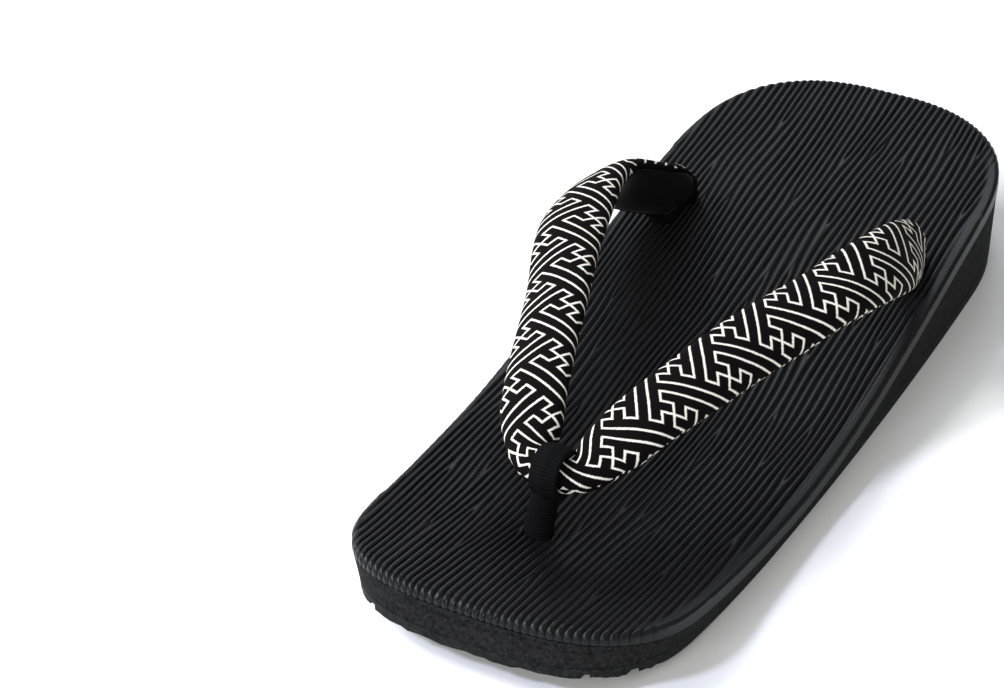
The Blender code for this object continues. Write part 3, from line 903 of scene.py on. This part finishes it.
def brocade():  # woven brocade: dull fine-ribbed ground, with slightly raised, brighter fret lines
    material, tree, shader = newMaterial("sayagataBrocade", fret["ground"], 0.8)
    uv = addNode(tree, "ShaderNodeUVMap", {"uv_map": "clothUV"}).outputs["UV"]

    def vectorCalc(operation, a, settings=None):
        return addNode(tree, "ShaderNodeVectorMath", {"operation": operation, **(settings or {})}, {0: a})

    rough = addNode(tree, "ShaderNodeTexNoise", {"Scale": 1.9, "Detail": 2.0}, {"Vector": uv}).outputs["Color"]
    shift = vectorCalc("SUBTRACT", rough, {1: (0.5, 0.5, 0.5)}).outputs[0]
    ragged = vectorCalc("SCALE", shift, {"Scale": 0.42}).outputs[0]
    place = addNode(tree, "ShaderNodeVectorMath", {"operation": "ADD"}, {0: uv, 1: ragged}).outputs[0]
    along, across = 0.5 / fret["alongStep"], 0.5 / fret["acrossStep"]
    folded = []
    for way in (-1, 1):
        unit = vectorCalc("DOT_PRODUCT", place, {1: (along, way * across, 0)}).outputs["Value"]
        folded.append(calc(tree, "SUBTRACT", calc(tree, "PINGPONG", calc(tree, "ADD", unit, 2.5), 5.0), 2.5))
    half = calc(tree, "SIGN", folded[0])
    both = addNode(tree, "ShaderNodeCombineXYZ", {}, {"X": folded[0], "Y": folded[1]}).outputs[0]
    key = addNode(tree, "ShaderNodeVectorMath", {"operation": "SCALE"}, {0: both, "Scale": half}).outputs[0]
    nearest = None
    for i0, j0, i1, j1 in fretBars:
        away = vectorCalc("SUBTRACT", key, {1: ((i0 + i1) / 2, (j0 + j1) / 2, 0)}).outputs[0]
        size = vectorCalc("ABSOLUTE", away).outputs[0]
        left = vectorCalc("SUBTRACT", size, {1: (abs(i1 - i0) / 2, abs(j1 - j0) / 2, 0)}).outputs[0]
        parts = addNode(tree, "ShaderNodeSeparateXYZ", {}, {0: left}).outputs
        far = calc(tree, "MAXIMUM", parts["X"], parts["Y"])
        nearest = far if nearest is None else calc(tree, "MINIMUM", nearest, far)
    halfLine = fret["lineWidth"] / 2
    line = spread(tree, nearest, {"interpolation_type": "SMOOTHSTEP", "From Min": halfLine + fret["softEdge"],
                                  "From Max": halfLine - fret["softEdge"]})

    def bands(way, scale, distortion):
        settings = {"wave_type": "BANDS", "bands_direction": way, "Scale": scale, "Distortion": distortion}
        return addNode(tree, "ShaderNodeTexWave", {**settings, "Detail": 1.0}, {"Vector": uv}).outputs["Fac"]

    threads, weft = bands("X", 0.8, 0.4), bands("Y", 0.7, 0.6)
    dark = blend(tree, noiseOn(tree, uv, 1.6, 3.0, Roughness=0.7), "#040303", "#0d0909")
    # painted shade across the threads: the cream goes darker and lighter with the thread bands that the bump
    # raises
    cream = blend(tree, threads, "#cfc8b8", "#f6f3ea")
    under = spread(tree, attributeOf(tree, "underside"),
                   {"interpolation_type": "SMOOTHSTEP", "From Min": 0.4, "From Max": 0.6})
    colour = blend(tree, under, blend(tree, line, dark, cream), "#060607")
    tree.links.new(colour, shader.inputs["Base Color"])
    weave = calc(tree, "MULTIPLY", threads, weft)
    bumpOn(tree, shader, calc(tree, "MULTIPLY_ADD", line, 0.7, weave), 0.6, 0.12)
    shader.inputs["Specular IOR Level"].default_value = 0.05
    return material


def pressedFoam():  # moulded EVA foam: near black, satin on the crests, dull in the valleys, whose colour is painted darker as painted shade; the patch beside the neck is painted darker as a painted shadow of the strap
    material, tree, shader = newMaterial("mouldedEvaFootbed", "#121214", 0.42)
    place = objectPlace(tree)
    parts = addNode(tree, "ShaderNodeSeparateXYZ", {}, {0: attributeOf(tree, "ribWave", "Vector")}).outputs
    turn = calc(tree, "ARCTAN2", parts["Y"], parts["X"])
    crest = calc(tree, "COSINE", calc(tree, "MULTIPLY", turn, 0.5))
    # painted shade in the grooves: the valley mask darkens the colour to #020202
    valley = spread(tree, crest, {"interpolation_type": "SMOOTHSTEP", "From Min": 0.7, "From Max": 0.1})
    groove = calc(tree, "MULTIPLY", valley, parts["Z"])
    # painted shadow of the strap: across the patch the colour goes darker, to #030303, and less shiny
    strapShadow = calc(tree, "MULTIPLY", attributeOf(tree, "flatAndShadowPatch"), 0.75)
    tone = blend(tree, strapShadow, blend(tree, groove, "#101011", "#020202"), "#030303")
    tree.links.new(tone, shader.inputs["Base Color"])
    gloss = spread(tree, noiseOn(tree, place, 26.0, 3.0), {"To Min": 0.24, "To Max": 0.42})
    tree.links.new(calc(tree, "MULTIPLY_ADD", groove, 0.4, gloss), shader.inputs["Roughness"])
    shine = spread(tree, calc(tree, "MAXIMUM", groove, strapShadow), {"To Min": 0.17, "To Max": 0.06})
    tree.links.new(shine, shader.inputs["Specular IOR Level"])
    grain = noiseOn(tree, place, 900.0, 3.0)
    bumpOn(tree, shader, calc(tree, "MULTIPLY_ADD", groove, -2.2, grain), 0.5, 0.09)
    return material


def sandedFoam():  # cut and sanded EVA: dull, with a fine sandy tooth and faint layers along the edge
    material, tree, shader = newMaterial("sandedEvaWedge", "#171717", 0.85)
    place = objectPlace(tree)
    sand = noiseOn(tree, place, 1100.0, 2.0)
    coarse = noiseOn(tree, place, 800.0, 4.0, Roughness=0.85)
    layers = addNode(tree, "ShaderNodeMapping", {"Scale": (6.0, 6.0, 260.0)}, {"Vector": place}).outputs[0]
    streak = noiseOn(tree, layers, 3.0, 3.0)
    speck = calc(tree, "MULTIPLY_ADD", streak, 0.22, coarse)
    tone = blend(tree, spread(tree, speck, {"From Min": 0.45, "From Max": 0.8}), "#020202", "#2a2a2a")
    tree.links.new(tone, shader.inputs["Base Color"])
    bumpOn(tree, shader, calc(tree, "MULTIPLY_ADD", streak, 0.8, sand), 0.5, 0.15)
    shader.inputs["Specular IOR Level"].default_value = 0.06
    return material


def treadRubber():  # moulded rubber: near black and dull, speckled by dust in its pores
    material, tree, shader = newMaterial("mouldedTreadRubber", "#121213", 0.65)
    pores = noiseOn(tree, objectPlace(tree), 800.0, 4.0, Roughness=0.85)
    tone = blend(tree, spread(tree, pores, {"From Min": 0.35, "From Max": 0.65}), "#030303", "#262626")
    tree.links.new(tone, shader.inputs["Base Color"])
    bumpOn(tree, shader, pores, 0.4, 0.12)
    shader.inputs["Specular IOR Level"].default_value = 0.08
    return material


def velvet():  # cotton velvet: very dark, with a soft bright edge from its short pile
    material, tree, shader = newMaterial("cottonVelvet", "#060607", 0.95)
    bumpOn(tree, shader, noiseOn(tree, objectPlace(tree), 1500.0, 2.0), 0.4, 0.1)
    shader.inputs["Sheen Weight"].default_value = 0.1
    shader.inputs["Sheen Roughness"].default_value = 0.35
    shader.inputs["Specular IOR Level"].default_value = 0.1
    return material


def ribbedCloth():  # fine ribbed cotton: black, matt, with threads across the band; its colour is painted darker in the rib hollows as painted shade
    material, tree, shader = newMaterial("ribbedCottonLoop", "#161617", 0.85)
    turns = calc(tree, "MULTIPLY", attributeOf(tree, "ribPlace"), 2 * math.pi / loop["ribPitch"])
    fuzz = noiseOn(tree, objectPlace(tree), 1400.0, 2.0)
    mixed = calc(tree, "MULTIPLY_ADD", calc(tree, "SINE", turns), 0.5, fuzz)
    # painted shade: the colour follows the rib height, #030303 in the hollows
    tone = blend(tree, spread(tree, mixed, {"From Min": -0.5, "From Max": 1.5}), "#030303", "#111112")
    tree.links.new(tone, shader.inputs["Base Color"])
    bumpOn(tree, shader, mixed, 0.7, 0.2)
    shader.inputs["Specular IOR Level"].default_value = 0.05
    return material


finishPiece(buildFootbed(), "footbed", pressedFoam())
finishPiece(buildMidsole(), "midsole", sandedFoam())
finishPiece(buildOutsole(), "outsole", treadRubber())
finishPiece(buildStrap(), "strap", brocade())
finishPiece(buildLining(), "strap_lining", velvet())
finishPiece(buildLoop(), "front_loop", ribbedCloth())


# floor, lights and camera
view = {
    "azimuth": 31.425,  # degrees from the toe's side towards the right
    "elevation": 34.994,
    "roll": -2.924,
    "distance": 1006.43,
    "aim": (-67.487, 1.081),  # the point of the floor at the picture's middle
    "lens": 118.80,
}


def addLight(name, size, power, place, aim, colour="#ffffff"):
    lamp = bpy.data.lights.new(name, "AREA")
    lamp.shape = "RECTANGLE"
    lamp.size, lamp.size_y = size
    lamp.energy = power
    lamp.color = linear(colour)[:3]
    holder = bpy.data.objects.new(name, lamp)
    bpy.context.scene.collection.objects.link(holder)
    holder.location = place
    holder.rotation_euler = (Vector(aim) - Vector(place)).to_track_quat("-Z", "Y").to_euler()


bpy.ops.object.select_all(action="DESELECT")
bpy.ops.mesh.primitive_plane_add(size=12, location=(0, 0, -0.0002))
floor = bpy.context.object
floor.name = "floor"
floorMaterial, floorTree, floorShader = newMaterial("matPaperFloor", "#f6f6f5", 0.9)
floor.data.materials.append(floorMaterial)

world = bpy.data.worlds.new("softRoom")
bpy.context.scene.world = world
world.use_nodes = True
world.node_tree.nodes["Background"].inputs["Color"].default_value = linear("#ffffff")
world.node_tree.nodes["Background"].inputs["Strength"].default_value = 0.26
# the toe's small lamp draws a spark on each rib where it rolls over
addLight("backSoftbox", (1.2, 0.7), 9, (-0.68, 0.98, 1.15), (0, 0, 0), "#f1f5ff")
addLight("leftSoftbox", (0.8, 0.8), 29, (-1.2, -0.3, 1.1), (0, 0, 0))
addLight("toeStrip", (0.15, 0.15), 10, (-0.55, -0.82, 0.94), (0, -0.13, 0), "#dfe8ff")
addLight("frontFill", (1.4, 0.8), 15, (0.1, -1.5, 0.75), (0, 0, 0))
addLight("rightFill", (1.4, 1.4), 4, (1.3, 0.2, 1.0), (0, 0, 0))

azimuth, elevation, roll = (math.radians(view[key]) for key in ("azimuth", "elevation", "roll"))
flatBack = Vector((math.sin(azimuth), -math.cos(azimuth), 0)) * math.cos(elevation)
back = flatBack + Vector((0, 0, math.sin(elevation)))
right = Vector((math.cos(azimuth), math.sin(azimuth), 0))
up = back.cross(right)
rolledRight = right * math.cos(roll) + up * math.sin(roll)
rolledUp = up * math.cos(roll) - right * math.sin(roll)
eye = (Vector((*view["aim"], 0)) + back * view["distance"]) * mm
lens = bpy.data.cameras.new("photoCamera")
lens.lens = view["lens"]
lens.sensor_width = 36
lens.clip_start = 0.01
camera = bpy.data.objects.new("photoCamera", lens)
bpy.context.scene.collection.objects.link(camera)
turned = Matrix((rolledRight, rolledUp, back)).transposed().to_4x4()
camera.matrix_world = Matrix.Translation(eye) @ turned
bpy.context.scene.camera = camera

bpy.context.scene.view_settings.view_transform = "Standard"
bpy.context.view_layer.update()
say("scene ready")
